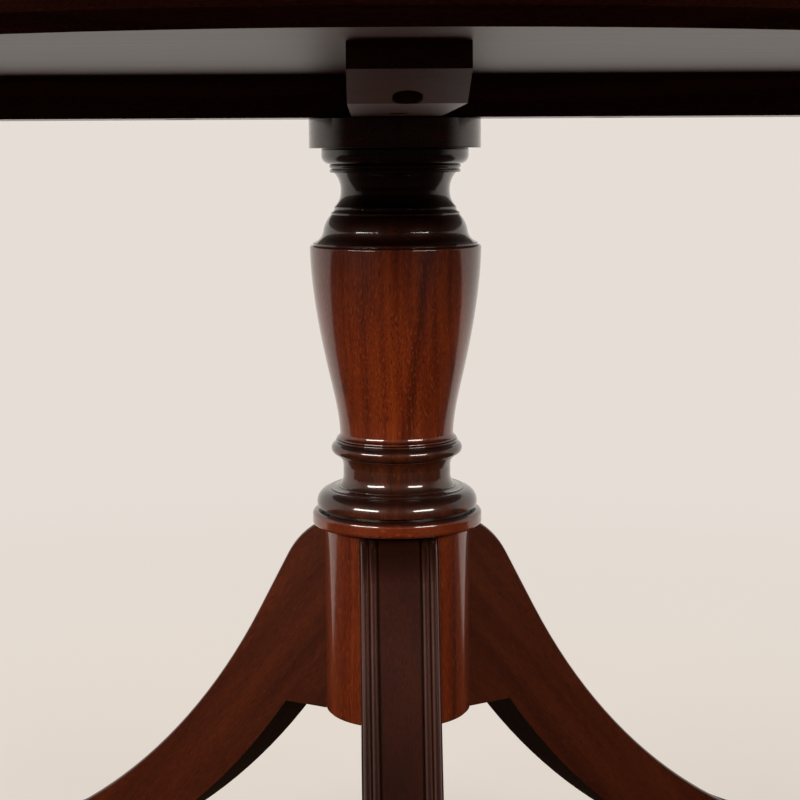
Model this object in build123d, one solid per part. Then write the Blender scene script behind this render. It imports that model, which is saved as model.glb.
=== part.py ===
from build123d import *
import math
import os

# Round mahogany table on a turned column with three reeded sabre legs.
# Millimetres, +Z up. The origin is on the floor, under the middle of the column.
# One leg points along -Y (the front) and the other two stand 120 degrees either side of it.

# ---- driving dimensions ------------------------------------------------------------------
TABLE_HEIGHT = 737.0          # 29 inches, floor to table top
TOP_RADIUS = 533.5            # a 42 inch top
TOP_THICKNESS = 22.0
BOARD_COUNT = 5               # edge-glued boards in the top
BEARER_DEPTH = 30.0
BEARER_WIDTH = 64.0
BEARER_HALF_LENGTH = 430.0
DISC_RADIUS = 64.5            # round plate between the column and the bearers
DISC_DEPTH = 22.0
VASE_RADIUS = 65.0            # widest part of the column
VASE_TOP = 592.2
VASE_FOOT = 443.9
COLLAR_TOP = 389.2
COLLAR_DEPTH = 11.7
COLLAR_RADIUS = 65.0
HUB_RADIUS = 56.0             # drum that carries the legs
HUB_FOOT = 230.0
LEG_COUNT = 3
LEG_HALF_WIDTH = 29.2         # at the hub
TOE_HALF_WIDTH = 25.5
TOE_REACH = 438.0             # column axis to the end of the wood at the toe
GLIDE_DEPTH = 3.0
CAP_WALL = 2.0
ROD_RADIUS = 6.0              # M12 tie rod through the whole column
ROD_BORE = 6.5
SPIGOT_RADIUS = 20.0          # round tenons between the turned pieces
SPIGOT_LENGTH = 16.0
FIT = 0.1                     # glue-line clearance round tenons and tongues

# ---- levels that follow ------------------------------------------------------------------
TOP_UNDERSIDE = TABLE_HEIGHT - TOP_THICKNESS
BEARER_UNDERSIDE = TOP_UNDERSIDE - BEARER_DEPTH
DISC_UNDERSIDE = BEARER_UNDERSIDE - DISC_DEPTH
COLLAR_FOOT = COLLAR_TOP - COLLAR_DEPTH
LEG_ANGLES = [-90.0 + 360.0 / LEG_COUNT * i for i in range(LEG_COUNT)]
LEG_NAMES = ["front", "rear_right", "rear_left"]

# ---- turned outlines: (radius, drop below the piece's top, swell of the run that follows) --
# A positive swell bows the run outwards into a bead, a negative one hollows it into a cove.
TOP_EDGE = [
    (TOP_RADIUS - 8.0, 0.0, 0.0),
    (TOP_RADIUS - 8.0, 1.6, 0.0),
    (TOP_RADIUS - 6.6, 1.6, 2.3),
    (TOP_RADIUS, 8.6, 0.0),
    (TOP_RADIUS, 13.0, 0.0),
    (TOP_RADIUS - 1.6, 14.6, -1.6),
    (TOP_RADIUS - 9.0, TOP_THICKNESS, 0.0),
]
DISC_EDGE = [
    (DISC_RADIUS - 0.6, 0.0, 0.18),
    (DISC_RADIUS, 0.6, 0.0),
    (DISC_RADIUS, DISC_DEPTH - 0.6, 0.18),
    (DISC_RADIUS - 0.6, DISC_DEPTH, 0.0),
]
NECK_EDGE = [
    (55.0, 0.0, 0.0),
    (55.4, 1.4, 0.0),
    (55.4, 5.2, 1.3),         # ovolo
    (50.6, 11.6, 0.0),
    (48.7, 11.8, 0.7),        # bead
    (48.9, 14.6, 0.0),
    (48.2, 14.8, 0.0),
    (48.2, 15.3, 0.0),
    (49.0, 15.5, 0.3),        # fillet under the bead
    (48.9, 17.9, 0.0),
    (46.2, 17.9, -1.5),       # cavetto, upper half
    (41.1, 31.4, -1.25),      # cavetto, lower half
    (45.4, 42.8, 0.0),
    (46.0, 43.4, 0.0),
    (46.0, 44.1, -0.7),       # small cove between two fillets
    (48.2, 47.4, 0.0),
    (48.6, 47.8, 0.0),
    (48.6, 49.2, 0.9),        # swelling upper half of the ogee
    (54.4, 60.8, -1.9),       # hollow lower half, spreading to the lip
    (62.0, 70.0, 0.0),
    (62.4, 70.3, 0.0),
    (62.4, DISC_UNDERSIDE - VASE_TOP, 0.0),
]
VASE_SHOULDER = [
    (61.8, 0.0, 0.0),
    (61.8, 0.8, 0.0),
    (63.2, 0.9, 0.5),
    (64.8, 3.4, 0.0),
]
VASE_SIDE = [(64.8, 3.4), (64.4, 14.1), (60.6, 49.6), (51.2, 98.6), (44.4, 132.1), (43.3, 143.8)]
VASE_LIP = [
    (43.3, 143.8, -0.45),
    (45.4, 147.3, 0.1),
    (45.8, VASE_TOP - VASE_FOOT, 0.0),
]
FOOT_EDGE = [
    (44.9, 0.0, 0.0),
    (45.5, 0.4, 0.8),         # small bead
    (46.2, 2.6, 0.0),
    (46.0, 2.8, 4.6),         # ring
    (45.0, 12.5, 0.0),
    (44.4, 12.7, 0.0),
    (44.4, 14.0, 0.0),
    (43.1, 14.4, -0.35),      # lower neck
    (41.1, 20.9, 0.0),
    (41.1, 28.5, -0.7),
    (44.0, 36.0, 0.0),
    (45.2, 36.1, 0.1),        # fillet
    (45.8, 36.9, -0.3),       # cove
    (51.0, 37.6, 0.0),
    (51.6, 37.9, 0.0),
    (51.6, 38.4, 3.9),        # torus
    (61.1, 52.1, 0.0),
    (60.4, 52.5, 0.0),
    (56.5, 52.5, 0.0),        # recess that leaves a shadow line above the collar
    (56.5, VASE_FOOT - COLLAR_TOP, 0.0),
]
COLLAR_EDGE = [
    (COLLAR_RADIUS - 3.8, 0.0, 1.1),
    (COLLAR_RADIUS, 3.8, 0.0),
    (COLLAR_RADIUS, COLLAR_DEPTH - 2.4, 0.6),
    (COLLAR_RADIUS - 2.0, COLLAR_DEPTH, 0.0),
]
HUB_SPIGOT_RADIUS = 42.0      # stub on the hub that the collar is glued round
HUB_EDGE = [
    (HUB_SPIGOT_RADIUS, 0.0, 0.0),
    (HUB_SPIGOT_RADIUS, COLLAR_DEPTH, 0.0),
    (HUB_RADIUS, COLLAR_DEPTH, 0.0),
    (HUB_RADIUS, COLLAR_TOP - HUB_FOOT - 1.5, 0.0),
    (HUB_RADIUS - 1.5, COLLAR_TOP - HUB_FOOT, 0.0),
]

# ---- leg outline, in the upright plane of a leg: (distance from the axis, height) ----------
LEG_TOP_START = (HUB_RADIUS, 377.1)
SHOULDER_START_ANGLE = 29.2   # slope of the leg's top edge where it leaves the hub
SHOULDER_END_ANGLE = 60.0     # slope of the straight run below the shoulder
SHOULDER_RADIUS = 73.0
STRAIGHT_RUN = 55.0
SWEEP_RADIUS = 560.0          # long hollow sweep to the toe
LEG_INNER = 44.0              # the blank runs in this far before it is coped to the hub
UNDERSIDE_START = (86.0, HUB_FOOT)
UNDERSIDE_MIDDLE = (236.0, 86.0)
UNDERSIDE_END = (416.0, 8.0)
CAP_MOUTH_ANGLE = 20.0        # slope of the leg where the brass cap begins
REED_END_ANGLE = 18.8         # the reeds run on a little way into the cap
CAP_HEEL = 396.0              # the cap's flat sole starts here
GLIDE_REACH = 419.0
GLIDE_RADIUS = 14.0
WOOD_CLEAR = GLIDE_DEPTH + CAP_WALL
TAPER = math.degrees(math.atan((LEG_HALF_WIDTH - TOE_HALF_WIDTH) / (TOE_REACH - HUB_RADIUS)))
TAPER_AT_AXIS = math.tan(math.radians(TAPER)) * HUB_RADIUS

# ---- reeding on the upper edge of a leg ----------------------------------------------------
REED_WIDTH = 6.05
REED_RISE = 2.0
REED_DEPTH = 2.4              # floor of the quirks below the flat
QUIRK_WIDTH = 1.4
REEDS_PER_SIDE = 2
FLAT_HALF_WIDTH = 14.9

# ---- dovetail between leg and hub ----------------------------------------------------------
TONGUE_REACH = 30.0
TONGUE_ROOT_HALF = 11.0
TONGUE_TIP_HALF = 15.0
TONGUE_TOP = 362.0


def bowed(start, end, swell):
    """Edge from start to end that bows by swell to the left of its direction of travel."""
    if swell == 0.0:
        return Line(start, end)
    run = Vector(*end) - Vector(*start)
    middle = (Vector(*start) + Vector(*end)) * 0.5
    side = Vector(-run.Y, run.X).normalized()
    return ThreePointArc(start, middle + side * swell, end)


def lathe_runs(profile, top):
    """Edges down the outside of a turned piece, from its (radius, drop, swell) list."""
    places = [(radius, top - drop) for radius, drop, _ in profile]
    swells = [swell for _, _, swell in profile]
    return [bowed(a, b, s) for a, b, s in zip(places, places[1:], swells)]


def spun(runs):
    """Solid made by spinning the runs, closed to the axis, about the upright axis."""
    first = runs[0] @ 0
    last = runs[-1] @ 1
    closing = [
        Line((0, first.Y), first),
        Line(last, (0, last.Y)),
        Line((0, last.Y), (0, first.Y)),
    ]
    return revolve(Plane.XZ * make_face(runs + closing), Axis.Z)


def turned(profile, top):
    return spun(lathe_runs(profile, top))


def upright(radius, low, high, x=0.0, y=0.0):
    """Round bar between two heights."""
    return Pos(x, y, (low + high) / 2) * Cylinder(radius, high - low)


def block(x0, x1, y0, y1, z0, z1):
    """Box between two corners."""
    centre = Pos((x0 + x1) / 2, (y0 + y1) / 2, (z0 + z1) / 2)
    return centre * Box(x1 - x0, y1 - y0, z1 - z0)


def polar(radius, degrees):
    return radius * math.cos(math.radians(degrees)), radius * math.sin(math.radians(degrees))


def joined(solids):
    """Several separate solids as one node."""
    return Compound(children=[s if isinstance(s, Solid) else s.solid() for s in solids])


SCREW_POINT = 4.0
DRIVE_SLOT_WIDTH = 1.1
DRIVE_SLOT_DEPTH = 1.2


def wood_screw(length, radius, head_radius, head_depth, countersunk):
    """Slotted screw pointing up, with the end of its shank under the head at the origin."""
    shank = upright(radius, 0.0, length - SCREW_POINT)
    point = Pos(0, 0, length - SCREW_POINT / 2) * Cone(radius, radius * 0.2, SCREW_POINT)
    if countersunk:
        head = Pos(0, 0, -head_depth / 2) * Cone(head_radius, radius, head_depth)
    else:
        round_head = upright(head_radius, -head_depth, 0.0)
        head = fillet(round_head.edges().group_by(Axis.Z)[0], head_depth * 0.6)
    slot = Box(2 * head_radius, DRIVE_SLOT_WIDTH, 2 * DRIVE_SLOT_DEPTH)
    return shank + point + head - Pos(0, 0, -head_depth) * slot


def screw_hole(radius, length, head_radius, head_depth):
    """Room for a countersunk screw, head and all."""
    head = Pos(0, 0, -head_depth / 2) * Cone(head_radius, radius, head_depth)
    return upright(radius, 0.0, length) + head


# ---- fixings -------------------------------------------------------------------------------
TOP_SCREW_REACH = [-390.0, -160.0, 160.0, 390.0]
TOP_SCREW_LENGTH = 31.0
TOP_SCREW_RADIUS = 2.4
TOP_SCREW_HEAD = (5.0, 3.4)   # radius, depth
COUNTERBORE_RADIUS = 8.0
COUNTERBORE_DEPTH = 13.0
SLOT_TRAVEL = 8.0             # lets the top shrink and swell
top_screw_places = [(0.0, reach) for reach in TOP_SCREW_REACH]
top_screw_places += [(reach, 0.0) for reach in TOP_SCREW_REACH]
top_screws = [
    Pos(x, y, BEARER_UNDERSIDE + COUNTERBORE_DEPTH)
    * wood_screw(TOP_SCREW_LENGTH, TOP_SCREW_RADIUS, *TOP_SCREW_HEAD, countersunk=False)
    for x, y in top_screw_places
]

DISC_SCREW_CIRCLE = 47.0
DISC_SCREW_LENGTH = 38.0
DISC_SCREW_RADIUS = 2.6
DISC_SCREW_HEAD = (5.2, 2.8)
disc_screw_places = [
    Pos(*polar(DISC_SCREW_CIRCLE, 90.0 * i), TOP_UNDERSIDE - DISC_SCREW_HEAD[1]) * Rot(180, 0, 0)
    for i in range(4)
]
disc_screw = wood_screw(DISC_SCREW_LENGTH, DISC_SCREW_RADIUS, *DISC_SCREW_HEAD, countersunk=True)
disc_screw_hole = screw_hole(DISC_SCREW_RADIUS, DISC_SCREW_LENGTH, *DISC_SCREW_HEAD)

SPIDER_DEPTH = 3.0
SPIDER_SCREW_REACH = [42.0, 72.0]
SPIDER_SCREW_LENGTH = 26.0
SPIDER_SCREW_RADIUS = 2.2
SPIDER_SCREW_HEAD = (4.6, 2.4)
spider_screw_places = [
    Pos(*polar(reach, angle), HUB_FOOT - SPIDER_DEPTH + SPIDER_SCREW_HEAD[1])
    for angle in LEG_ANGLES
    for reach in SPIDER_SCREW_REACH
]
spider_screw = wood_screw(SPIDER_SCREW_LENGTH, SPIDER_SCREW_RADIUS, *SPIDER_SCREW_HEAD, countersunk=True)
spider_screw_hole = screw_hole(SPIDER_SCREW_RADIUS, SPIDER_SCREW_LENGTH, *SPIDER_SCREW_HEAD)

NUT_DEPTH = 10.0
WASHER_DEPTH = 2.5
WASHER_RADIUS = 12.0
NUT_ACROSS_FLATS = 18.0
TOP_NUT_SEAT = TOP_UNDERSIDE - 14.0
NUT_RECESS_RADIUS = 15.0
SPIDER_FOOT = HUB_FOOT - SPIDER_DEPTH
ROD_TOP = TOP_UNDERSIDE - 0.6
ROD_FOOT = SPIDER_FOOT - WASHER_DEPTH - NUT_DEPTH - 3.0

DOWEL_RADIUS = 4.0
DOWEL_CIRCLE = 32.0
DOWEL_HALF_LENGTH = 12.0
DOWEL_SPAN = (COLLAR_TOP - DOWEL_HALF_LENGTH, COLLAR_TOP + DOWEL_HALF_LENGTH)
column_dowels = [
    upright(DOWEL_RADIUS, *DOWEL_SPAN, *polar(DOWEL_CIRCLE, angle)) for angle in LEG_ANGLES
]


def nut(low):
    hexagon = RegularPolygon(NUT_ACROSS_FLATS / 2, 6, major_radius=False)
    body = extrude(Pos(0, 0, low) * hexagon, NUT_DEPTH)
    crown = Pos(0, 0, low + NUT_DEPTH / 2) * Cylinder(NUT_ACROSS_FLATS * 0.56, NUT_DEPTH)
    return (body & chamfer(crown.edges(), 0.9)) - upright(ROD_RADIUS + 0.05, low, low + NUT_DEPTH)


def washer(low):
    return upright(WASHER_RADIUS, low, low + WASHER_DEPTH) - upright(ROD_BORE, low, low + WASHER_DEPTH)


def tie_rod():
    rod = upright(ROD_RADIUS, ROD_FOOT, ROD_TOP)
    return chamfer(rod.edges(), 1.0)


# ---- table top -----------------------------------------------------------------------------
BOARD_WIDTH = 2 * TOP_RADIUS / BOARD_COUNT
TONGUE_STRIP_DEPTH = 6.0
TONGUE_STRIP_HALF = 10.0
TONGUE_STRIP_STOP = 70.0      # loose tongues stop short of the moulded edge
joint_lines = [-TOP_RADIUS + BOARD_WIDTH * i for i in range(1, BOARD_COUNT)]
strip_low = TOP_UNDERSIDE + (TOP_THICKNESS - TONGUE_STRIP_DEPTH) / 2
TOP_SCREW_TIP = BEARER_UNDERSIDE + COUNTERBORE_DEPTH + TOP_SCREW_LENGTH


def tongue_strip(y, play):
    """Loose tongue along one glue joint, or its groove when play is given."""
    half = math.sqrt(TOP_RADIUS**2 - y**2) - TONGUE_STRIP_STOP + play
    wide = TONGUE_STRIP_HALF + play
    return block(-half, half, y - wide, y + wide, strip_low, strip_low + TONGUE_STRIP_DEPTH)


def top_boards():
    slab = turned(TOP_EDGE, TABLE_HEIGHT)
    for y in joint_lines:
        slab = slab - tongue_strip(y, 0.5)
    for x, y in top_screw_places:
        slab = slab - upright(TOP_SCREW_RADIUS, BEARER_UNDERSIDE, TOP_SCREW_TIP, x, y)
    boards = []
    for i in range(BOARD_COUNT):
        low = -TOP_RADIUS + BOARD_WIDTH * i
        high = low + BOARD_WIDTH
        margin = 5.0 if i in (0, BOARD_COUNT - 1) else 0.0
        low = low - margin if i == 0 else low
        high = high + margin if i == BOARD_COUNT - 1 else high
        reach = TOP_RADIUS + 5.0
        strip = block(-reach, reach, low, high, TOP_UNDERSIDE - 5.0, TABLE_HEIGHT + 5.0)
        boards.append(slab & strip)
    return boards


def bearer(along_y, lap_from_top):
    """One of two bearers, halved over each other above the column."""
    half = BEARER_HALF_LENGTH
    wide = BEARER_WIDTH / 2
    low, high = BEARER_UNDERSIDE, TOP_UNDERSIDE
    middle = (low + high) / 2
    end_rise = 16.0
    bevel = 46.0
    side = Polyline(
        (-half, high),
        (half, high),
        (half, low + end_rise),
        (half - bevel, low),
        (bevel - half, low),
        (-half, low + end_rise),
        close=True,
    )
    bar = extrude(Plane.XZ * make_face(side), wide, both=True)
    lap_low, lap_high = (middle, high) if lap_from_top else (low, middle)
    bar = bar - block(-wide, wide, -wide, wide, lap_low, lap_high)
    shank_slot = SlotCenterToCenter(SLOT_TRAVEL, 2 * TOP_SCREW_RADIUS + 0.8)
    head_slot = SlotCenterToCenter(SLOT_TRAVEL, 2 * COUNTERBORE_RADIUS)
    for reach in TOP_SCREW_REACH:
        bar = bar - extrude(Pos(reach, 0, low) * shank_slot, BEARER_DEPTH)
        bar = bar - extrude(Pos(reach, 0, low) * head_slot, COUNTERBORE_DEPTH)
    bar = Rot(0, 0, 90) * bar if along_y else bar
    for place in disc_screw_places:
        bar = bar - place * disc_screw_hole
    bar = bar - upright(ROD_BORE, low, high)
    return bar - upright(NUT_RECESS_RADIUS, TOP_NUT_SEAT, high)


# ---- turned column -------------------------------------------------------------------------
def spigot(top, length):
    """Round tenon that reaches down from a level."""
    return upright(SPIGOT_RADIUS, top - length, top)


def socket(top, length):
    return upright(SPIGOT_RADIUS + FIT, top - length, top)


def bored(solid):
    return solid - upright(ROD_BORE, HUB_FOOT - 1.0, TABLE_HEIGHT)


def top_disc():
    disc = turned(DISC_EDGE, BEARER_UNDERSIDE)
    for place in disc_screw_places:
        disc = disc - place * disc_screw_hole
    return bored(disc - socket(DISC_UNDERSIDE + SPIGOT_LENGTH, SPIGOT_LENGTH))


def neck_turning():
    neck = turned(NECK_EDGE, DISC_UNDERSIDE)
    neck = neck + spigot(DISC_UNDERSIDE + SPIGOT_LENGTH - 0.5, SPIGOT_LENGTH)
    return bored(neck + spigot(VASE_TOP, SPIGOT_LENGTH))


def vase_turning():
    side = Spline(*[(radius, VASE_TOP - drop) for radius, drop in VASE_SIDE])
    runs = lathe_runs(VASE_SHOULDER, VASE_TOP) + [side] + lathe_runs(VASE_LIP, VASE_TOP)
    vase = spun(runs) - socket(VASE_TOP, SPIGOT_LENGTH + 0.5)
    return bored(vase + spigot(VASE_FOOT, SPIGOT_LENGTH))


HUB_SPIGOT_LENGTH = 34.0


def foot_turning():
    foot = turned(FOOT_EDGE, VASE_FOOT) - socket(VASE_FOOT, SPIGOT_LENGTH + 0.5)
    foot = foot + spigot(COLLAR_TOP, HUB_SPIGOT_LENGTH)
    for dowel in column_dowels:
        foot = foot - dowel
    return bored(foot)


def collar_ring():
    return turned(COLLAR_EDGE, COLLAR_TOP) - upright(HUB_SPIGOT_RADIUS, COLLAR_FOOT, COLLAR_TOP)


def dovetail(play):
    """Tapered tongue on a leg pointing along +X, or its socket when play is given."""
    reach = TONGUE_REACH - play
    tip = TONGUE_TIP_HALF + play
    root = TONGUE_ROOT_HALF + play
    outer = HUB_RADIUS + 2.0
    plan = Polyline((reach, -tip), (outer, -root), (outer, root), (reach, tip), close=True)
    return extrude(Pos(0, 0, HUB_FOOT) * make_face(plan), TONGUE_TOP + play - HUB_FOOT)


def hub():
    drum = bored(turned(HUB_EDGE, COLLAR_TOP) - socket(COLLAR_TOP, HUB_SPIGOT_LENGTH + 0.5))
    for angle in LEG_ANGLES:
        drum = drum - Rot(0, 0, angle) * dovetail(FIT)
    for dowel in column_dowels:
        drum = drum - dowel
    return drum


# ---- legs ----------------------------------------------------------------------------------
def on_curve(centre, radius, slope):
    """Point of the leg's top edge on an arc about centre, where the edge falls at slope."""
    angle = math.radians(slope)
    return centre[0] - radius * math.sin(angle), centre[1] - radius * math.cos(angle)


start_angle = math.radians(SHOULDER_START_ANGLE)
run_angle = math.radians(SHOULDER_END_ANGLE)
shoulder_centre = (
    LEG_TOP_START[0] - SHOULDER_RADIUS * math.sin(start_angle),
    LEG_TOP_START[1] - SHOULDER_RADIUS * math.cos(start_angle),
)
shoulder_end = on_curve(shoulder_centre, -SHOULDER_RADIUS, SHOULDER_END_ANGLE)
sweep_start = (
    shoulder_end[0] + STRAIGHT_RUN * math.cos(run_angle),
    shoulder_end[1] - STRAIGHT_RUN * math.sin(run_angle),
)
sweep_centre = (
    sweep_start[0] + SWEEP_RADIUS * math.sin(run_angle),
    sweep_start[1] + SWEEP_RADIUS * math.cos(run_angle),
)
toe_slope = math.degrees(math.asin((sweep_centre[0] - TOE_REACH) / SWEEP_RADIUS))


def top_edge(end_slope):
    """Edges along the upper side of a leg, from the hub to where it falls at end_slope."""
    shoulder_mid_slope = (SHOULDER_START_ANGLE + SHOULDER_END_ANGLE) / 2
    shoulder_mid = on_curve(shoulder_centre, -SHOULDER_RADIUS, shoulder_mid_slope)
    sweep_mid = on_curve(sweep_centre, SWEEP_RADIUS, (SHOULDER_END_ANGLE + end_slope) / 2)
    return [
        ThreePointArc(LEG_TOP_START, shoulder_mid, shoulder_end),
        Line(shoulder_end, sweep_start),
        ThreePointArc(sweep_start, sweep_mid, on_curve(sweep_centre, SWEEP_RADIUS, end_slope)),
    ]


def leg_side():
    """Side view of a leg, along +X."""
    toe_top = on_curve(sweep_centre, SWEEP_RADIUS, toe_slope)
    edges = [Line((LEG_INNER, LEG_TOP_START[1]), LEG_TOP_START)]
    edges += top_edge(toe_slope)
    edges += [
        Line(toe_top, (TOE_REACH, WOOD_CLEAR)),
        Line((TOE_REACH, WOOD_CLEAR), UNDERSIDE_END),
        ThreePointArc(UNDERSIDE_END, UNDERSIDE_MIDDLE, UNDERSIDE_START),
        Line(UNDERSIDE_START, (LEG_INNER, HUB_FOOT)),
        Line((LEG_INNER, HUB_FOOT), (LEG_INNER, LEG_TOP_START[1])),
    ]
    return make_face(edges)


def tapered_slab(side_view, proud):
    """Side view thickened to a leg's width, which narrows towards the toe."""
    slab = extrude(Plane.XZ * side_view, LEG_HALF_WIDTH + 10.0, both=True)
    half = LEG_HALF_WIDTH + TAPER_AT_AXIS + proud
    wedge = block(-100.0, 600.0, -200.0, half, -100.0, 500.0)
    slab = slab & (Rot(0, 0, -TAPER) * wedge)
    return slab & mirror(Rot(0, 0, -TAPER) * wedge, Plane.XZ)


def reed_cutter():
    """What is cut away along one side of a leg's upper edge to leave the reeds."""
    inner = FLAT_HALF_WIDTH + TAPER_AT_AXIS
    outer = LEG_HALF_WIDTH + TAPER_AT_AXIS + 4.0
    above = 3.0
    first = inner + QUIRK_WIDTH
    valleys = [(first + REED_WIDTH * i, -REED_DEPTH) for i in range(REEDS_PER_SIDE + 1)]
    edges = [Line((inner, above), (inner, -REED_DEPTH)), Line((inner, -REED_DEPTH), valleys[0])]
    edges += [bowed(a, b, REED_RISE) for a, b in zip(valleys, valleys[1:])]
    edges += [
        Line(valleys[-1], (outer, -REED_DEPTH)),
        Line((outer, -REED_DEPTH), (outer, above)),
        Line((outer, above), (inner, above)),
    ]
    path = Wire([Plane.XZ * edge for edge in top_edge(REED_END_ANGLE)])
    lead = Vector(math.cos(start_angle), 0, -math.sin(start_angle))
    section = Plane(origin=path @ 0, x_dir=(0, 1, 0), z_dir=lead)
    swept = sweep(section * make_face(edges), path)
    return Rot(0, 0, -TAPER) * swept


def plain_leg():
    """Leg along +X before it is reeded."""
    blank = tapered_slab(leg_side(), 0.0) - upright(HUB_RADIUS, 0.0, TABLE_HEIGHT)
    tongue = dovetail(0.0) & upright(HUB_RADIUS + 1.0, HUB_FOOT, TONGUE_TOP)
    return blank + tongue


def toe_cap():
    """Cast brass cap with a flat sole over the toe of a leg along +X."""
    side = offset(leg_side(), CAP_WALL, kind=Kind.INTERSECTION)
    sole_top = WOOD_CLEAR + 8.0
    end = TOE_REACH + CAP_WALL
    sole = Rectangle(end - CAP_HEEL, sole_top - GLIDE_DEPTH)
    side = side + Pos((CAP_HEEL + end) / 2, (GLIDE_DEPTH + sole_top) / 2) * sole
    shell = tapered_slab(side, CAP_WALL)
    shell = shell & block(0.0, 600.0, -60.0, 60.0, GLIDE_DEPTH, 500.0)
    mouth = on_curve(sweep_centre, SWEEP_RADIUS, CAP_MOUTH_ANGLE)
    beyond_mouth = block(0.0, 90.0, -60.0, 60.0, -90.0, 60.0)
    keep = Pos(mouth[0], 0, mouth[1]) * Rot(0, CAP_MOUTH_ANGLE, 0) * beyond_mouth
    return (shell & keep) - plain_leg()


CAP_PIN_PLACE = (408.0, 28.0)
CAP_PIN_RADIUS = 1.6


def cap_pins():
    """Pair of brass pins through the sides of a toe cap into the leg along +X."""
    reach, height = CAP_PIN_PLACE
    outer = LEG_HALF_WIDTH + TAPER_AT_AXIS + CAP_WALL + 0.3 - math.tan(math.radians(TAPER)) * reach
    length = 12.0
    pins = []
    for side in (-1.0, 1.0):
        place = Pos(reach, side * (outer - length / 2), height) * Rot(90, 0, 0)
        pins.append(place * Cylinder(CAP_PIN_RADIUS, length))
    return pins


def glide():
    stud = upright(GLIDE_RADIUS, 0.0, GLIDE_DEPTH, GLIDE_REACH)
    return chamfer(stud.edges().group_by(Axis.Z)[0], 0.8)


def spider_plate():
    """Three-armed iron plate under the hub that ties the legs to it."""
    arm_half = 13.0
    arm_reach = 82.0
    plate = Circle(36.0)
    for angle in LEG_ANGLES:
        arm = Pos(arm_reach / 2, 0) * Rectangle(arm_reach, 2 * arm_half)
        arm = fillet(arm.vertices().group_by(Axis.X)[-1], arm_half - 1.0)
        plate = plate + Rot(0, 0, angle) * arm
    solid = extrude(Pos(0, 0, SPIDER_FOOT) * plate, SPIDER_DEPTH)
    for place in spider_screw_places:
        solid = solid - place * spider_screw_hole
    return solid - upright(ROD_BORE, SPIDER_FOOT, HUB_FOOT)


# ---- build and write -------------------------------------------------------------------------
nodes = {f"top_board_{i + 1}": board for i, board in enumerate(top_boards())}
nodes["board_tongues"] = joined([tongue_strip(y, 0.0) for y in joint_lines])
nodes["bearer_across"] = bearer(along_y=True, lap_from_top=False)
nodes["bearer_along"] = bearer(along_y=False, lap_from_top=True)
nodes["top_screws"] = joined(top_screws)
nodes["disc_screws"] = joined([place * disc_screw for place in disc_screw_places])
nodes["top_disc"] = top_disc()
nodes["neck_turning"] = neck_turning()
nodes["vase_turning"] = vase_turning()
nodes["foot_turning"] = foot_turning()
nodes["collar_ring"] = collar_ring()
nodes["column_dowels"] = joined(column_dowels)
nodes["hub"] = hub()
nodes["tie_rod"] = tie_rod()
lower_washer_foot = SPIDER_FOOT - WASHER_DEPTH
nodes["tie_rod_nuts"] = joined([nut(TOP_NUT_SEAT + WASHER_DEPTH), nut(lower_washer_foot - NUT_DEPTH)])
nodes["tie_rod_washers"] = joined([washer(TOP_NUT_SEAT), washer(lower_washer_foot)])
nodes["spider_plate"] = spider_plate()
nodes["spider_screws"] = joined([place * spider_screw for place in spider_screw_places])

cutter = reed_cutter()
reeded_leg = plain_leg() - cutter - mirror(cutter, Plane.XZ)
for pin in cap_pins():
    reeded_leg = reeded_leg - pin
capped_toe = toe_cap()
for pin in cap_pins():
    capped_toe = capped_toe - pin
all_pins = []
for name, angle in zip(LEG_NAMES, LEG_ANGLES):
    turn = Rot(0, 0, angle)
    leg = turn * reeded_leg
    for place in spider_screw_places:
        leg = leg - place * spider_screw_hole
    nodes[f"{name}_leg"] = leg
    nodes[f"{name}_toe_cap"] = turn * capped_toe
    nodes[f"{name}_glide"] = turn * glide()
    all_pins += [turn * pin for pin in cap_pins()]
nodes["toe_cap_pins"] = joined(all_pins)

os.makedirs("parts", exist_ok=True)
for name, shape in nodes.items():
    export_step(shape, f"parts/{name}.step")
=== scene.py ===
"""Round mahogany table on a turned column with three reeded sabre legs.

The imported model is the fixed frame. This script gives its pieces their materials and sets up a plain
studio around them. It models no piece of its own. Lengths are metres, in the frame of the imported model:
the origin is on the floor under the column, +Z is up, and one leg points along -Y.
"""

from __future__ import annotations

import logging
import math
from dataclasses import dataclass, field
from enum import Enum

import bpy
from mathutils import Matrix, Vector

LOG = logging.getLogger("table")
MM = 0.001
LEG_NAMES = {"front": -90.0, "rear_right": 30.0, "rear_left": 150.0}


def linear(hex_colour: str) -> tuple[float, float, float, float]:
    """Turn an sRGB hex colour into the linear colour that shaders take.

    Args:
        hex_colour: six hex digits, with or without a leading hash.

    Returns:
        Linear red, green, blue and an alpha of one.
    """
    digits = hex_colour.lstrip("#")
    channels = [int(digits[i : i + 2], 16) / 255 for i in (0, 2, 4)]
    straight = [c / 12.92 if c <= 0.04045 else ((c + 0.055) / 1.055) ** 2.4 for c in channels]
    return (straight[0], straight[1], straight[2], 1.0)


def add_node(
    tree: bpy.types.NodeTree,
    kind: str,
    inputs: dict[str | int, object] | None = None,
    **settings: object,
) -> bpy.types.Node:
    """Add a shader node, set its properties and fill or link its inputs.

    Args:
        tree: the node tree that gets the node.
        kind: the node's type, without the leading "ShaderNode".
        inputs: value or output socket for each input, by name or number.
        **settings: properties of the node itself.

    Returns:
        The new node.
    """
    node = tree.nodes.new("ShaderNode" + kind)
    for name, value in settings.items():
        setattr(node, name, value)
    for key, value in (inputs or {}).items():
        socket = node.inputs[key]
        if isinstance(value, bpy.types.NodeSocket):
            tree.links.new(value, socket)
        else:
            socket.default_value = value
    return node


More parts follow.
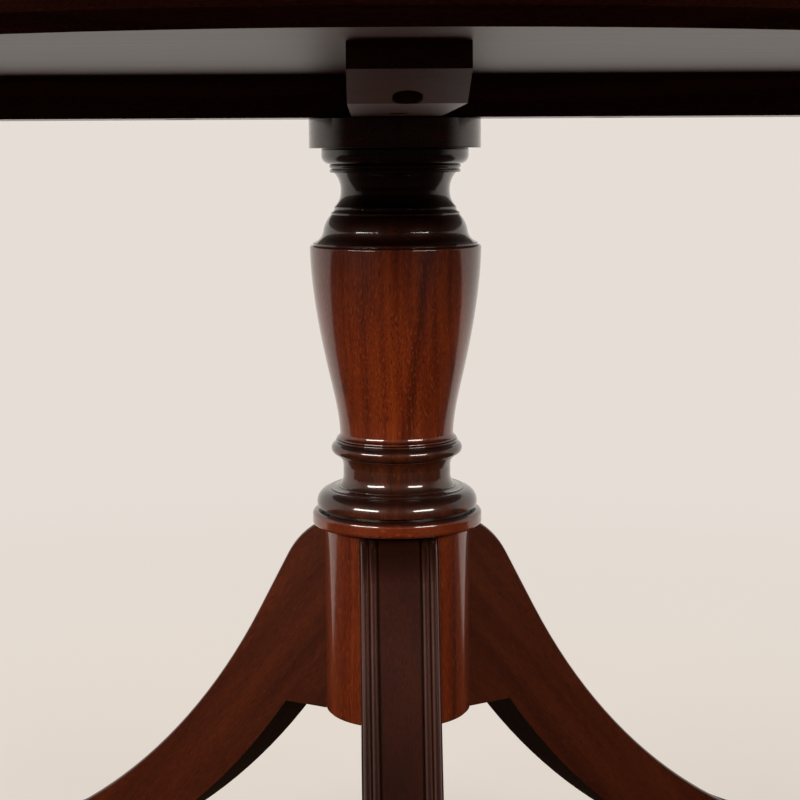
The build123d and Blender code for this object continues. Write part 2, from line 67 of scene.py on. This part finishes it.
def add_ramp(
    tree: bpy.types.NodeTree, factor: bpy.types.NodeSocket, stops: list[tuple[float, str]]
) -> bpy.types.NodeSocket:
    """Add a colour ramp.

    Args:
        tree: the node tree that gets the ramp.
        factor: what drives it.
        stops: place and hex colour of each stop, from left to right.

    Returns:
        The ramp's colour output.
    """
    ramp = add_node(tree, "ValToRGB", {"Fac": factor})
    elements = ramp.color_ramp.elements
    while len(elements) < len(stops):
        elements.new(0.5)
    for element, (place, colour) in zip(elements, stops):
        element.position = place
        element.color = linear(colour)
    return ramp.outputs["Color"]


def new_material(name: str) -> tuple[bpy.types.Material, bpy.types.NodeTree]:
    """Make an empty node material.

    Args:
        name: the material's name.

    Returns:
        The material and its cleared node tree.
    """
    material = bpy.data.materials.new(name)
    material.use_nodes = True
    material.node_tree.nodes.clear()
    return material, material.node_tree


def finish_surface(
    tree: bpy.types.NodeTree, inputs: dict[str | int, object]
) -> bpy.types.Node:
    """Add the surface shader and the material output.

    Args:
        tree: the node tree that gets them.
        inputs: values and sockets for the surface shader.

    Returns:
        The surface shader.
    """
    shader = add_node(tree, "BsdfPrincipled", inputs)
    add_node(tree, "OutputMaterial", {"Surface": shader.outputs["BSDF"]})
    return shader


class Grain(Enum):
    """Way that the fibres of a straight-grained piece run."""

    ACROSS = (1.0, 0.0, 0.0)
    DEEP = (0.0, 1.0, 0.0)
    UP = (0.0, 0.0, 1.0)


@dataclass(frozen=True)
class Streak:
    """Dark mineral streak through upright wood, a leaning sheet measured in millimetres."""

    across: float
    level: float
    lean: float
    half_width: float


@dataclass(frozen=True)
class Mahogany:
    """Stained mahogany under a rubbed gloss lacquer.

    The eye gets a deep red-brown with soft darker growth bands, short dark pores and orange flecks along
    the grain, painted shade on up-facing ledges and in recesses, and a clear film that mirrors the room.
    Sizes of the pattern are millimetres of wood.
    """

    name: str
    dark: str = "#230801"
    middle: str = "#541A04"
    pale: str = "#702C09"
    pith: tuple[float, float, float] = (70.0, 45.0, 0.0)
    band_width: float = 9.0
    fibre_width: float = 1.1
    pore_width: float = 0.55
    pore_length: float = 9.0
    film_weight: float = 1.0
    film_roughness: float = 0.09
    # Painted shade: ledge_shade sets how dark up-facing faces are painted and recess_shade how dark recesses
    # are painted (1 means none).
    ledge_shade: float = 1.0
    recess_shade: float = 0.2
    fleck_strength: float = 0.5
    streak: Streak | None = None

    def material(self, grain: Vector, shift: float = 0.0) -> bpy.types.Material:
        """Build the node material for one way of the grain.

        Args:
            grain: direction of the fibres.
            shift: millimetres that this piece's pattern lies further along the log.

        Returns:
            The material.
        """
        material, tree = new_material(self.name)
        place = self._log_place(tree, grain, shift)
        bands = self._bands(tree, place)
        fibres = self._stretched(tree, place, self.fibre_width, 38.0, 3.0)
        ribbon = self._stretched(tree, place, 13.0, 160.0, 1.0)
        pores = self._pores(tree, place)
        figure = add_node(tree, "Math", {0: bands, 1: 0.5, 2: 0.05}, operation="MULTIPLY_ADD")
        figure = add_node(tree, "Math", {0: fibres, 1: 0.2, 2: figure.outputs[0]}, operation="MULTIPLY_ADD")
        figure = add_node(tree, "Math", {0: ribbon, 1: 0.35, 2: figure.outputs[0]}, operation="MULTIPLY_ADD")
        if self.streak is not None:
            figure = add_node(
                tree,
                "Math",
                {0: self._streak(tree, self.streak), 1: -0.16, 2: figure.outputs[0]},
                operation="MULTIPLY_ADD",
            )
        stops = [(0.32, self.dark), (0.52, self.middle), (0.78, self.pale)]
        wood = add_ramp(tree, figure.outputs[0], stops)
        flecks = self._flecks(tree, place)
        warmed = add_node(
            tree, "Mix", {"Factor": flecks, 6: wood, 7: linear("#7E3A14")}, data_type="RGBA"
        )
        pored = add_node(
            tree, "Mix", {"Factor": pores, 6: warmed.outputs[2], 7: linear("#220A04")}, data_type="RGBA"
        )
        # Painted shade: ledges and recesses are mixed toward near-black #0A0302, a painted dark reflection
        # on up-facing faces and painted shade in hollows.
        shaded_colour = add_node(
            tree,
            "Mix",
            {"Factor": self._painted_shade_share(tree), 6: linear("#0A0302"), 7: pored.outputs[2]},
            data_type="RGBA",
        )
        relief = add_node(tree, "Math", {0: pores, 1: -1.0, 2: fibres}, operation="MULTIPLY_ADD")
        bump = add_node(
            tree, "Bump", {"Height": relief.outputs[0], "Distance": 0.02 * MM, "Strength": 0.6}
        )
        ripple = add_node(
            tree, "TexNoise", {"Vector": place, "Scale": 0.06, "Detail": 1.0}
        )
        film = add_node(
            tree, "Bump", {"Height": ripple.outputs["Fac"], "Distance": 0.08 * MM, "Strength": 1.0}
        )
        finish_surface(
            tree,
            {
                "Base Color": shaded_colour.outputs[2],
                "Roughness": 0.42,
                "Normal": bump.outputs["Normal"],
                "IOR": 1.5,
                "Specular IOR Level": 0.15,
                "Coat Weight": self.film_weight,
                "Coat Roughness": self.film_roughness,
                "Coat IOR": 1.5,
                "Coat Normal": film.outputs["Normal"],
            },
        )
        return material

    def _log_place(
        self, tree: bpy.types.NodeTree, grain: Vector, shift: float
    ) -> bpy.types.NodeSocket:
        """Give each point its place in the log, in millimetres, with the fibres along Z."""
        here = add_node(tree, "TexCoord").outputs["Object"]
        turn = grain.normalized().rotation_difference(Vector((0.0, 0.0, 1.0))).to_euler()
        pith = Vector(self.pith) + Vector((0.0, 0.0, shift))
        mapping = add_node(
            tree,
            "Mapping",
            {"Vector": here, "Scale": (1000.0,) * 3, "Rotation": turn, "Location": pith},
        )
        straight = mapping.outputs["Vector"]
        slow = add_node(
            tree, "Mapping", {"Vector": straight, "Scale": (0.011, 0.011, 0.0035)}
        )
        drift = add_node(
            tree, "TexNoise", {"Vector": slow.outputs[0], "Scale": 1.0, "Detail": 2.0}
        )
        centred = add_node(
            tree, "VectorMath", {0: drift.outputs["Color"], 1: (0.5, 0.5, 0.5)}, operation="SUBTRACT"
        )
        swing = add_node(
            tree, "VectorMath", {0: centred.outputs[0], 1: (26.0, 26.0, 0.0)}, operation="MULTIPLY"
        )
        bent = add_node(
            tree, "VectorMath", {0: straight, 1: swing.outputs[0]}, operation="ADD"
        )
        return bent.outputs[0]

    def _bands(
        self, tree: bpy.types.NodeTree, place: bpy.types.NodeSocket
    ) -> bpy.types.NodeSocket:
        """Soft growth bands round the pith, of uneven width."""
        flat = add_node(tree, "VectorMath", {0: place, 1: (1.0, 1.0, 0.0)}, operation="MULTIPLY")
        radius = add_node(tree, "VectorMath", {0: flat.outputs[0]}, operation="LENGTH")
        count = add_node(
            tree, "Math", {0: radius.outputs["Value"], 1: 1.0 / self.band_width}, operation="MULTIPLY"
        )
        bands = add_node(
            tree,
            "TexNoise",
            {"W": count.outputs[0], "Scale": 1.0, "Detail": 3.0, "Roughness": 0.6},
            noise_dimensions="1D",
        )
        return bands.outputs["Fac"]

    def _stretched(
        self,
        tree: bpy.types.NodeTree,
        place: bpy.types.NodeSocket,
        width: float,
        length: float,
        detail: float,
    ) -> bpy.types.NodeSocket:
        """Noise whose cells are drawn out along the grain."""
        scale = (1.0 / width, 1.0 / width, 1.0 / length)
        drawn = add_node(tree, "Mapping", {"Vector": place, "Scale": scale})
        noise = add_node(
            tree, "TexNoise", {"Vector": drawn.outputs[0], "Scale": 1.0, "Detail": detail}
        )
        return noise.outputs["Fac"]

    def _pores(
        self, tree: bpy.types.NodeTree, place: bpy.types.NodeSocket
    ) -> bpy.types.NodeSocket:
        """Short dark vessels, drawn at twice their real width so that they show."""
        raw = self._stretched(tree, place, self.pore_width, self.pore_length, 0.0)
        return add_node(
            tree, "MapRange", {"Value": raw, "From Min": 0.58, "From Max": 0.72, "To Max": 0.6}
        ).outputs["Result"]

    def _flecks(
        self, tree: bpy.types.NodeTree, place: bpy.types.NodeSocket
    ) -> bpy.types.NodeSocket:
        """Fine pale flecks where the rays come to the surface."""
        raw = self._stretched(tree, place, 0.9, 4.5, 0.0)
        return add_node(
            tree,
            "MapRange",
            {"Value": raw, "From Min": 0.60, "From Max": 0.76, "To Max": self.fleck_strength},
        ).outputs["Result"]

    def _streak(self, tree: bpy.types.NodeTree, streak: Streak) -> bpy.types.NodeSocket:
        """One in the middle of the dark streak, falling to zero at its edges."""
        here = add_node(tree, "TexCoord").outputs["Object"]
        parts = add_node(tree, "SeparateXYZ", {"Vector": here})
        middle = add_node(
            tree,
            "Math",
            {0: parts.outputs["Z"], 1: streak.lean, 2: (streak.across - streak.lean * streak.level) * MM},
            operation="MULTIPLY_ADD",
        )
        aside = add_node(
            tree, "Math", {0: parts.outputs["X"], 1: middle.outputs[0]}, operation="SUBTRACT"
        )
        gap = add_node(tree, "Math", {0: aside.outputs[0]}, operation="ABSOLUTE")
        return add_node(
            tree,
            "MapRange",
            {
                "Value": gap.outputs[0],
                "From Max": streak.half_width * MM,
                "To Min": 1.0,
                "To Max": 0.0,
            },
            interpolation_type="SMOOTHSTEP",
        ).outputs["Result"]

    def _painted_shade_share(self, tree: bpy.types.NodeTree) -> bpy.types.NodeSocket:
        """Share of the wood's colour kept under painted shade: less on up-facing ledges, as a painted dark
        reflection, and in recesses, as painted shade from ambient occlusion.
        """
        upward = add_node(
            tree, "SeparateXYZ", {"Vector": add_node(tree, "TexCoord").outputs["Normal"]}
        ).outputs["Z"]
        # Painted dark reflection: the more a face points up, the darker it is painted.
        ledge = add_node(
            tree,
            "MapRange",
            {"Value": upward, "From Min": 0.15, "From Max": 0.75, "To Min": 1.0, "To Max": self.ledge_shade},
            interpolation_type="SMOOTHSTEP",
        )
        # Painted shade: occluded recesses are painted darker.
        open_air = add_node(tree, "AmbientOcclusion", {"Distance": 7.0 * MM}, samples=6)
        recess = add_node(
            tree,
            "MapRange",
            {
                "Value": open_air.outputs["AO"],
                "From Min": 0.3,
                "From Max": 0.85,
                "To Min": self.recess_shade,
                "To Max": 1.0,
            },
        )
        return add_node(
            tree, "Math", {0: ledge.outputs["Result"], 1: recess.outputs["Result"]}, operation="MULTIPLY"
        ).outputs[0]


@dataclass(frozen=True)
class Metal:
    """Bare or plated metal: a dull sheen with fine scratches and a darker bloom of age."""

    name: str
    colour: str
    tarnish: str
    roughness: float = 0.28
    metallic: float = 1.0

    def material(self) -> bpy.types.Material:
        """Build the node material.

        Returns:
            The material.
        """
        material, tree = new_material(self.name)
        here = add_node(tree, "TexCoord").outputs["Object"]
        cloud = add_node(tree, "TexNoise", {"Vector": here, "Scale": 90.0, "Detail": 4.0})
        colour = add_ramp(tree, cloud.outputs["Fac"], [(0.35, self.tarnish), (0.62, self.colour)])
        scratch = add_node(tree, "TexNoise", {"Vector": here, "Scale": 1400.0, "Detail": 2.0})
        rough = add_node(
            tree,
            "MapRange",
            {"Value": cloud.outputs["Fac"], "To Min": self.roughness + 0.15, "To Max": self.roughness},
        )
        bump = add_node(
            tree, "Bump", {"Height": scratch.outputs["Fac"], "Distance": 0.02 * MM, "Strength": 0.5}
        )
        finish_surface(
            tree,
            {
                "Base Color": colour,
                "Metallic": self.metallic,
                "Roughness": rough.outputs["Result"],
                "Normal": bump.outputs["Normal"],
            },
        )
        return material


@dataclass(frozen=True)
class Plain:
    """Plain moulded or unfinished surface with a fine speckle."""

    name: str
    colour: str
    fleck: str
    roughness: float = 0.55
    grit: float = 0.4

    def material(self) -> bpy.types.Material:
        """Build the node material.

        Returns:
            The material.
        """
        material, tree = new_material(self.name)
        here = add_node(tree, "TexCoord").outputs["Object"]
        speckle = add_node(
            tree, "TexNoise", {"Vector": here, "Scale": 1.0 / (self.grit * MM), "Detail": 2.0}
        )
        colour = add_ramp(tree, speckle.outputs["Fac"], [(0.35, self.fleck), (0.65, self.colour)])
        bump = add_node(
            tree, "Bump", {"Height": speckle.outputs["Fac"], "Distance": 0.03 * MM, "Strength": 0.6}
        )
        finish_surface(
            tree,
            {"Base Color": colour, "Roughness": self.roughness, "Normal": bump.outputs["Normal"]},
        )
        return material


def dress(node: str, material: bpy.types.Material) -> None:
    """Give a carried-over piece its material.

    Args:
        node: the piece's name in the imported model.
        material: what it is made of.
    """
    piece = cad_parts[node]
    for slot in piece.material_slots:
        slot.material = material
    LOG.info("dressed %s in %s", node, material.name)


@dataclass
class TableTop:
    """Five edge-glued boards with a moulded edge, and the tongues in their joints."""

    board_count: int = 5
    board_shift: float = 340.0

    def build(self) -> None:
        """Dress the boards, each from another part of the log, and the tongues."""
        for i in range(self.board_count):
            pith = (34.0 + 23.0 * i, 61.0 - 17.0 * i, 0.0)
            wood = Mahogany(
                f"satin_mahogany_board_{i + 1}", pith=pith, film_weight=0.3, film_roughness=0.42
            )
            grain = Vector(Grain.ACROSS.value)
            dress(f"top_board_{i + 1}", wood.material(grain, self.board_shift * i))
        dress("board_tongues", Plain("unfinished_beech", "#C49A6C", "#A87E52").material())


@dataclass
class UnderFrame:
    """Two bearers halved over each other, and the screws that hold them."""

    def build(self) -> None:
        """Dress the bearers and their screws."""
        wood = Mahogany("lacquered_mahogany_bearer", pith=(51.0, 38.0, 0.0), film_roughness=0.4)
        dress("bearer_across", wood.material(Vector(Grain.DEEP.value), 90.0))
        dress("bearer_along", wood.material(Vector(Grain.ACROSS.value), 410.0))
        steel = Metal("zinc_plated_steel", "#A9A69E", "#7D7A72").material()
        dress("top_screws", steel)
        dress("disc_screws", steel)


@dataclass
class Column:
    """Turned pieces stacked on a tie rod, from the disc down to the hub."""

    def build(self) -> None:
        """Dress every turned piece and what is inside them."""
        flat = Mahogany("lacquered_mahogany_disc", pith=(44.0, 83.0, 0.0), ledge_shade=0.2)
        dress("top_disc", flat.material(Vector(Grain.ACROSS.value), 40.0))
        dress("collar_ring", flat.material(Vector(Grain.ACROSS.value), 260.0))
        # Painted shade: the neck and foot take a darker copy of the vase's mahogany, standing in for the
        # dimmer light they get.
        upright = Mahogany(
            "lacquered_mahogany_turned",
            dark="#130402",
            middle="#301004",
            pale="#451B08",
            ledge_shade=0.2,
            fleck_strength=0.2,
        )
        dress("neck_turning", upright.material(Vector(Grain.UP.value), 0.0))
        streaked = Mahogany(
            "lacquered_mahogany_vase", ledge_shade=0.2, streak=Streak(20.0, 570.0, 0.11, 7.0)
        )
        dress("vase_turning", streaked.material(Vector(Grain.UP.value), 170.0))
        dress("foot_turning", upright.material(Vector(Grain.UP.value), 505.0))
        drum = Mahogany("lacquered_mahogany_hub", ledge_shade=0.2)
        dress("hub", drum.material(Vector(Grain.UP.value), 870.0))
        dress("column_dowels", Plain("unfinished_beech_dowel", "#C49A6C", "#A87E52").material())
        steel = Metal("bright_steel_rod", "#9C9A94", "#6E6C66").material()
        for node in ("tie_rod", "tie_rod_nuts", "tie_rod_washers"):
            dress(node, steel)


@dataclass
class Tripod:
    """Three sabre legs with their brass caps and glides, and the iron plate below the hub."""

    chord_fall: float = 50.0

    def build(self) -> None:
        """Dress the legs, caps, pins, glides and plate."""
        brass = Metal("aged_brass", "#B08D4A", "#7A5B2A").material()
        nylon = Plain("moulded_nylon", "#2B1D15", "#1E140E").material()
        for name, azimuth in LEG_NAMES.items():
            angle = math.radians(azimuth)
            fall = math.radians(self.chord_fall)
            grain = Vector(
                (math.cos(angle) * math.cos(fall), math.sin(angle) * math.cos(fall), -math.sin(fall))
            )
            pith = (58.0, 72.0 + azimuth * 0.3, 0.0)
            wood = Mahogany(
                "lacquered_mahogany_leg",
                dark="#240A03",
                middle="#3A1305",
                pale="#4C1E0A",
                pith=pith,
                band_width=38.0,
                ledge_shade=0.2,
                fleck_strength=0.12,
            )
            dress(f"{name}_leg", wood.material(grain, azimuth * 2.0))
            dress(f"{name}_toe_cap", brass)
            dress(f"{name}_glide", nylon)
        dress("toe_cap_pins", brass)
        iron = Metal("black_lacquered_iron", "#1C1B1A", "#0F0F0E", roughness=0.4, metallic=0.0)
        dress("spider_plate", iron.material())
        dress("spider_screws", Metal("zinc_plated_steel", "#A9A69E", "#7D7A72").material())


@dataclass(frozen=True)
class Softbox:
    """Rectangular soft light beside or above the table, aimed at the column."""

    name: str
    azimuth: float
    distance: float
    width: float
    height: float
    centre: float
    power: float
    colour: str = "#FFF6EC"
    flagged: bool = True

    def build(self, top: bpy.types.Collection) -> None:
        """Add the light.

        Args:
            top: the boards that a flagged light is kept off, so that they don't mirror it.
        """
        data = bpy.data.lights.new(self.name, "AREA")
        data.shape = "RECTANGLE"
        data.size = self.width
        data.size_y = self.height
        data.energy = self.power
        data.color = linear(self.colour)[:3]
        light = bpy.data.objects.new(self.name, data)
        light.visible_camera = False
        if self.flagged:
            light.light_linking.receiver_collection = top
        bpy.context.scene.collection.objects.link(light)
        angle = math.radians(self.azimuth)
        here = Vector((math.sin(angle), -math.cos(angle), 0.0)) * self.distance
        here.z = self.centre
        light.location = here
        aim = Vector((0.0, 0.0, 0.45)) - here
        light.rotation_euler = aim.to_track_quat("-Z", "Y").to_euler()


@dataclass
class Studio:
    """Pale floor, soft lights and the camera."""

    camera_distance: float = 1.325
    camera_height: float = 0.6585
    camera_azimuth: float = -1.0
    camera_fall: float = 8.0
    camera_roll: float = -0.33
    look_aside: float = 0.116
    lens: float = 78.75
    floor_half: float = 30.0
    air: str = "#E6DED6"
    softboxes: list[Softbox] = field(
        default_factory=lambda: [
            Softbox("left_softbox", -47.0, 2.6, 1.8, 0.45, 1.36, 84.0),
            Softbox("right_softbox", 38.0, 2.6, 1.4, 0.45, 1.36, 58.0),
            Softbox("high_softbox", 0.0, 0.6, 1.6, 1.6, 2.8, 14.0, flagged=False),
        ]
    )

    def build(self) -> None:
        """Set up floor, world, lights and camera."""
        self._floor()
        self._world()
        top = self._flagged_boards()
        for softbox in self.softboxes:
            softbox.build(top)
        self._camera()
        bpy.context.scene.view_settings.view_transform = "Standard"

    def _flagged_boards(self) -> bpy.types.Collection:
        """Gather the boards of the top and mark them as left out of the lights that use them."""
        boards = bpy.data.collections.new("flagged_boards")
        for name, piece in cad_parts.items():
            if name.startswith("top_board"):
                boards.objects.link(piece)
        for board in boards.collection_objects:
            board.light_linking.link_state = "EXCLUDE"
        return boards

    def _floor(self) -> None:
        """Lay the floor: pale to the camera and fading far off into the air colour; to every other ray dark
        brown, with a glowing strip behind the table that is painted light.
        """
        bpy.ops.object.select_all(action="DESELECT")
        bpy.ops.mesh.primitive_plane_add(size=2 * self.floor_half, location=(0.0, 0.0, 0.0))
        floor = bpy.context.active_object
        floor.name = "studio_floor"
        material, tree = new_material("pale_floor_paint_and_glow")
        seen = add_node(tree, "LightPath").outputs["Is Camera Ray"]
        # Painted shade: to every ray but the camera's the floor is dark brown, which dims the bounce light
        # on the lower parts.
        colour = add_node(
            tree,
            "Mix",
            {"Factor": seen, 6: linear("#241B15"), 7: linear("#E6DED6")},
            data_type="RGBA",
        )
        paint = add_node(tree, "BsdfDiffuse", {"Color": colour.outputs[2]})
        here = add_node(tree, "TexCoord").outputs["Object"]
        depth = add_node(tree, "SeparateXYZ", {"Vector": here}).outputs["Y"]
        # Painted light: behind the table the floor glows the air colour to every ray but the camera's, a
        # glowing strip that shows as pale reflections on the column.
        behind = add_node(
            tree,
            "MapRange",
            {"Value": depth, "From Min": 0.5, "From Max": 0.7},
            interpolation_type="SMOOTHSTEP",
        )
        unseen = add_node(tree, "Math", {0: 1.0, 1: seen}, operation="SUBTRACT")
        glow = add_node(
            tree, "Math", {0: behind.outputs["Result"], 1: unseen.outputs[0]}, operation="MULTIPLY"
        )
        reach = add_node(tree, "VectorMath", {0: here}, operation="LENGTH")
        far = add_node(
            tree,
            "MapRange",
            {"Value": reach.outputs["Value"], "From Min": 0.3, "From Max": 2.2, "To Min": 0.62},
            interpolation_type="SMOOTHSTEP",
        )
        open_far = add_node(tree, "Math", {0: far.outputs["Result"], 1: seen}, operation="MULTIPLY")
        air = add_node(tree, "Emission", {"Color": linear(self.air)})
        shown = add_node(tree, "Math", {0: open_far.outputs[0], 1: glow.outputs[0]}, operation="ADD")
        mixed = add_node(
            tree,
            "MixShader",
            {0: shown.outputs[0], 1: paint.outputs["BSDF"], 2: air.outputs["Emission"]},
        )
        add_node(tree, "OutputMaterial", {"Surface": mixed.outputs["Shader"]})
        floor.data.materials.append(material)

    def _world(self) -> None:
        """Pale all round to the eye; in reflections, bright behind the table and dark in front."""
        world = bpy.data.worlds.new("studio_air")
        bpy.context.scene.world = world
        world.use_nodes = True
        tree = world.node_tree
        tree.nodes.clear()
        way = add_node(tree, "TexCoord").outputs["Generated"]
        parts = add_node(tree, "SeparateXYZ", {"Vector": way})
        back = add_node(
            tree,
            "MapRange",
            {"Value": parts.outputs["Y"], "From Min": -0.35, "From Max": 0.25, "To Min": 0.03},
            interpolation_type="SMOOTHSTEP",
        )
        wall = add_node(
            tree, "Background", {"Color": linear("#E9E2DA"), "Strength": back.outputs["Result"]}
        )
        seen_air = add_node(tree, "Background", {"Color": linear(self.air), "Strength": 1.0})
        seen = add_node(tree, "LightPath").outputs["Is Camera Ray"]
        both = add_node(
            tree,
            "MixShader",
            {0: seen, 1: wall.outputs["Background"], 2: seen_air.outputs["Background"]},
        )
        add_node(tree, "OutputWorld", {"Surface": both.outputs["Shader"]})

    def _camera(self) -> None:
        """Stand the camera a little left of the front leg, looking slightly down."""
        data = bpy.data.cameras.new("camera")
        data.lens = self.lens
        data.sensor_width = 36.0
        data.clip_start = 0.05
        camera = bpy.data.objects.new("camera", data)
        bpy.context.scene.collection.objects.link(camera)
        angle = math.radians(self.camera_azimuth)
        place = Vector((math.sin(angle), -math.cos(angle), 0.0)) * self.camera_distance
        place.z = self.camera_height
        turn = (
            Matrix.Rotation(angle - math.radians(self.look_aside), 4, "Z")
            @ Matrix.Rotation(math.radians(90.0 - self.camera_fall), 4, "X")
            @ Matrix.Rotation(math.radians(self.camera_roll), 4, "Z")
        )
        camera.matrix_world = Matrix.Translation(place) @ turn
        bpy.context.scene.camera = camera


def main() -> None:
    """Build the sub-assemblies in order."""
    logging.basicConfig(level=logging.INFO, format="%(name)s: %(message)s")
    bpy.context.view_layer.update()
    for part in (TableTop(), UnderFrame(), Column(), Tripod(), Studio()):
        LOG.info("building %s", type(part).__name__)
        part.build()


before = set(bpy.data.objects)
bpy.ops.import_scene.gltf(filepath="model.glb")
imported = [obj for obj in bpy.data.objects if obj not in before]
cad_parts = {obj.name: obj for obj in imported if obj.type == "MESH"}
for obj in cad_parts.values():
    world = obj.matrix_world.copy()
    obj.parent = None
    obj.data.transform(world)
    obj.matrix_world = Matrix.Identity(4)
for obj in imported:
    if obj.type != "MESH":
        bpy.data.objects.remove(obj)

if __name__ == "__main__":
    main()
